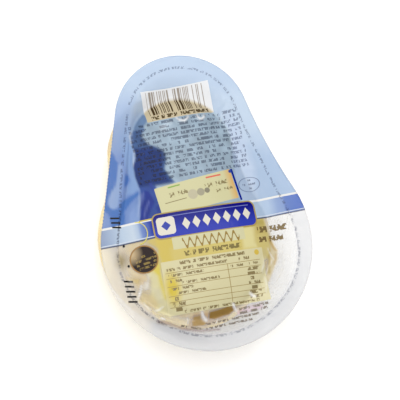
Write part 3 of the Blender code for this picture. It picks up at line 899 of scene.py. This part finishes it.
def cheese_material():
    """Stretched curd smoked over wood: a smooth golden rind, browner where the smoke settled.

    It is greyer where the lid film presses whey against it.
    """
    material, tree, shader = new_material(
        "smoked_stretched_curd",
        Roughness=0.42,
        IOR=1.44,
        Subsurface_Weight=0.15,
        Subsurface_Radius=(0.004, 0.0028, 0.0014),
        Subsurface_Scale=1.0,
    )
    # Clouds of smoke, about 17 mm across.
    spot = add(tree, "TexCoord", out=3)
    cloud = add(tree, "TexNoise", {"Vector": spot, "Scale": 60.0, "Detail": 4.0, "Roughness": 0.6})
    gold = add(tree, "Mix", {0: cloud, 6: "#efdb94", 7: "#dfc070"}, 2, data_type="RGBA")
    wet = add(tree, "Mix", {0: cloud, 6: "#cbb98b", 7: "#b09a68"}, 2, data_type="RGBA")
    pressed = add(tree, "Attribute", out=2, attribute_name="pressed")
    rind = add(tree, "Mix", {0: pressed, 6: gold, 7: wet}, 2, data_type="RGBA")
    smoke = add(tree, "Attribute", out=2, attribute_name="smoke")
    rind = add(tree, "Mix", {0: smoke, 6: rind, 7: "#a9803c"}, 2, data_type="RGBA")
    tree.links.new(rind, shader.inputs["Base Color"])
    # The curd's fibres, about 2 mm apart.
    fibre = add(tree, "TexNoise", {"Vector": spot, "Scale": 420.0, "Detail": 5.0})
    bump = add(tree, "Bump", {"Strength": 0.25, "Distance": 0.0005, "Height": fibre})
    tree.links.new(bump, shader.inputs["Normal"])
    return material


# ---------------------------------------------------------------- pieces
def fold_glints(points):
    """How white the painted glints make the film along its folds."""
    white = np.zeros(len(points))
    for line, width, _, shine in FOLDS:
        white = np.maximum(white, shine * along_fold(points, line, 0.55 * width))
    return white


def blue_paint(points, on_cheese):
    """The blue half: the film's blue with its painted shade and light, and the cheese's greyer tones where
    it lies on the cheese.
    """
    over_cheese = painted(points, WET_GROUND, ON_CHEESE_LAYERS)
    over_cheese[:, :3] *= (1.0 + 0.22 * np.clip(grain(points, 5.0, 11), -1.0, 1.0))[:, None]
    lying = on_cheese * (1.0 - inside(points, FREE_LEFT, 0.8))
    lying *= 1.0 - 0.95 * inside(points, FREE_RIGHT, 1.2)
    blue = painted(points, BLUE_GROUND, BLUE_LAYERS)
    return blue + (over_cheese - blue) * lying[:, None]


def clear_paint(points, on_cheese, sealed, from_rim):
    """The clear half, milkier where the two films are sealed and clearer on the cheese."""
    x, y = points[:, 0], points[:, 1]
    clear = painted(points, CLEAR_GROUND, CLEAR_LAYERS, 0.22 * sealed - 0.16 * on_cheese)
    # At the foot the flange looks milkier away from its rim, and greyer on the left: painted shadow of the
    # pocket on the floor below.
    foot_shadow_share = smooth(from_rim, 0.5, 6.0) * sealed * smooth(-y, 10.0, 50.0)
    clear[:, 3] += (0.16 + 0.1 * smooth(-x, 0.0, 25.0)) * foot_shadow_share
    clear[:, :3] *= (1.0 - 0.28 * foot_shadow_share * smooth(-x, -6.0, 22.0))[:, None]
    return clear


def paint_lid(piece):
    """Keeps the lid film's paint on its points, with the painted glints of its creases and the place of its
    rim's print.
    """
    points = corners(piece)
    y = points[:, 1]
    on_cheese = inside(points, pairs(contact + (0.6, 0.8)), 0.9)
    sealed = 1.0 - inside(points, pairs(seal), 1.6)
    from_rim = distance(points, pairs(np.vstack((rim, rim[:1]))[::4]))
    store(piece, "wet", on_cheese)
    store(piece, "crease_glint", fold_glints(points))
    store(piece, "blue", blue_paint(points, on_cheese))
    store(piece, "clear", clear_paint(points, on_cheese, sealed, from_rim))
    # The print keeps further from the rim beside the waist of the pack and at its foot.
    further = 1.8 * np.exp(-(((y + 8.0) / 17.0) ** 2)) + 0.9 * smooth(-y, 40.0, 54.0)
    store(piece, "from_rim", from_rim - further)
    ways = np.concatenate(([0.0], np.cumsum(np.linalg.norm(np.diff(seal, axis=0), axis=1))))
    nearest = [int(np.argmin(((seal - point) ** 2).sum(axis=1))) for point in points[:, :2]]
    store(piece, "round_rim", ways[nearest])


def lid_film():
    """The lid film: its upper face from the spine out to the rim, and its underside back again."""
    upper = [lid_row(r) for r in np.linspace(0.0, 1.0, 46)]
    upper += [lid_row(1.0 + r) for r in np.linspace(0.0, 1.0, 15)[1:]]
    upper += [lid_row(2.0 + r) for r in np.linspace(0.0, 1.0, 9)[1:]]
    lower = [lid_row(2.0 + r, LID_THICKNESS) for r in np.linspace(1.0, 0.0, 5)]
    lower += [lid_row(1.0 + r, LID_THICKNESS) for r in np.linspace(1.0, 0.0, 15)[1:]]
    lower += [lid_row(r, LID_THICKNESS) for r in np.linspace(1.0, 0.0, 31)[1:]]
    upper[-1], lower[0] = pinked(upper[-1]), pinked(lower[0])
    materials = [
        lid_film_material("printed_polyester_lidding_head", True),
        clear_film_material("bare_underside_of_lidding", 0.03, 0.03),
        lid_film_material("printed_polyester_lidding_foot", False),
    ]
    printed_rows = len(upper) - 1
    piece = skin("printed_lid_film", upper + lower, materials, lambda row: 0 if row < printed_rows else 1)
    for face in piece.data.polygons:
        if face.material_index == 0 and face.center.y < PRINT_SPLIT * MM:
            face.material_index = 2
    paint_lid(piece)
    return piece


def pocket_film():
    """The clear pocket with its flange, one closed wall."""
    flange = []
    heights = [FLANGE_TOP] * 3 + [FLANGE_UNDERSIDE] * 2
    for share, height in zip((0.0, 0.5, 1.0, 1.0, 0.5), heights):
        flat = seal + (rim - seal) * share
        row = np.column_stack((flat, height + lid_relief(flat, 2.0 + share)))
        flange.append(pinked(row) if share == 1.0 else row)
    top = FLANGE_UNDERSIDE + lid_relief(seal, 2.0)
    outer = shoulder_rows(seal, pocket, top, 16) + belly_rows(pocket_spine, pocket, 0.0, 26)
    within = pull(pocket, pocket_spine, POCKET_WALL)
    inner = shoulder_rows(pull(seal, spine, POCKET_WALL), within, top, 16)
    inner += belly_rows(pocket_spine, within, POCKET_WALL, 26)
    materials = [
        clear_film_material("thermoformed_pocket_film", 0.06, 0.6),
        clear_film_material("inner_face_of_pocket_film", 0.03, 0.03),
    ]
    rows = inner[::-1] + flange + outer
    inner_rows = len(inner) - 1
    piece = skin("formed_pocket_film", rows, materials, lambda row: 1 if row < inner_rows else 0)
    points = corners(piece)
    # Painted glints: white lines along noise ridges of the pocket below the flange.
    wrinkle = grain(points, 9.0, 8, 2)
    below = smooth(38.0 - points[:, 2], 0.0, 4.0)
    store(piece, "crease_glint", 0.5 * below * smooth(1.0 - np.abs(wrinkle) * 14.0, 0.0, 1.0))
    return piece


def cheese():
    """The pear-shaped cheese, pressed flat by the lid film and filling the pocket on the left."""
    top = [lid_row(reach, LID_THICKNESS + LID_GAP) for reach in np.linspace(0.0, 1.0, 40)]
    edge, crown = pull(contact, spine, CHEESE_EDGE_IN), top[-1][:, 2]
    widest = draw_in(pull(pocket, pocket_spine, POCKET_WALL + CHEESE_GAP), DRAWN_IN)
    side = shoulder_rows(edge, widest, crown, 22)[1:]
    belly = belly_rows(draw_in(pocket_spine, DRAWN_IN), widest, CHEESE_FLOOR, 34)
    piece = skin("smoked_scamorza", top + side + belly, [cheese_material()])
    points = corners(piece)
    cloud = smooth(grain(points, 16.0, 4, 3), -0.3, 0.8)
    smoke = 0.4 * cloud + 0.16 * smooth(points[:, 1], -5.0, 20.0) * smooth(-points[:, 0], 12.0, 24.0)
    smoke = np.maximum(smoke, 0.9 * inside(points, BROWN_PATCH, 1.2))
    store(piece, "smoke", smoke)
    store(piece, "pressed", smooth(points[:, 2], 33.0, 38.5))
    return piece


pieces = {"filled_pocket": [cheese(), pocket_film()], "printed_film": [lid_film()]}
for node, shown in pieces.items():
    for piece in shown:
        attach(piece, "root")
        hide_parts(node)


# ---------------------------------------------------------------- studio
# The camera: its roll, its lean to the right and its lean upwards in degrees, the point that it
# aims at and how far away it is.
CAMERA_TURNS = (11.6, 9.5, 12.0)
CAMERA_AIM = (0.57, 0.09, 40.0)
CAMERA_DISTANCE = 614.3
FOCAL_LENGTH, SENSOR_WIDTH = 128.57, 36.0


def floor():
    """A seamless sheet of white studio paper."""
    bm = bmesh.new()
    bmesh.ops.create_grid(bm, x_segments=8, y_segments=8, size=1.5)
    mesh = bpy.data.meshes.new("studio_floor")
    bm.to_mesh(mesh)
    bm.free()
    material, tree, shader = new_material("white_background_paper", Roughness=0.9, Specular_IOR_Level=0.0)
    spot = add(tree, "TexCoord", out=3)
    tooth = add(tree, "TexNoise", {"Vector": spot, "Scale": 900.0, "Detail": 2.0})
    paper = add(tree, "Mix", {0: tooth, 6: "#f6f6f6", 7: "#fafafa"}, 2, data_type="RGBA")
    tree.links.new(paper, shader.inputs["Base Color"])
    mesh.materials.append(material)
    piece = bpy.data.objects.new("studio_floor", mesh)
    bpy.context.scene.collection.objects.link(piece)


def softbox(name, place, size, power, target=(0.0, 0.0, 0.03)):
    """A rectangular soft light that faces the pack, in metres and watts."""
    light = bpy.data.lights.new(name, "AREA")
    light.shape = "RECTANGLE"
    light.size, light.size_y = size
    light.energy = power
    lamp = bpy.data.objects.new(name, light)
    lamp.location = place
    lamp.rotation_euler = (Vector(place) - Vector(target)).to_track_quat("Z", "Y").to_euler()
    bpy.context.scene.collection.objects.link(lamp)


def camera():
    """The photograph's view: a long lens that looks down from the foot of the pack and its left."""
    roll, lean_right, lean_up = (math.radians(degrees) for degrees in CAMERA_TURNS)
    across = Vector((math.cos(roll), -math.sin(roll), 0.0))
    away = Vector((math.sin(roll), math.cos(roll), 0.0))
    back = Vector((0.0, 0.0, 1.0)) - math.tan(lean_right) * across - math.tan(lean_up) * away
    back.normalize()
    up = (away - back * away.dot(back)).normalized()
    right = up.cross(back)
    lens = bpy.data.cameras.new("camera")
    lens.sensor_width = SENSOR_WIDTH
    lens.lens = FOCAL_LENGTH
    eye = bpy.data.objects.new("camera", lens)
    place = Vector(CAMERA_AIM) * MM + back * CAMERA_DISTANCE * MM
    eye.matrix_world = Matrix.Translation(place) @ Matrix((right, up, back)).transposed().to_4x4()
    bpy.context.scene.collection.objects.link(eye)
    bpy.context.scene.camera = eye


floor()
softbox("large_key", (-0.2, 0.14, 1.1), (1.2, 1.2), 14.5)
softbox("small_glint", (0.1, 0.5, 1.0), (0.1, 0.1), 1.2)
camera()
world = bpy.data.worlds.new("studio")
world.use_nodes = True
world.node_tree.nodes["Background"].inputs["Color"].default_value = (1.0, 1.0, 1.0, 1.0)
world.node_tree.nodes["Background"].inputs["Strength"].default_value = 0.6
bpy.context.scene.world = world
bpy.context.scene.view_settings.view_transform = "Standard"
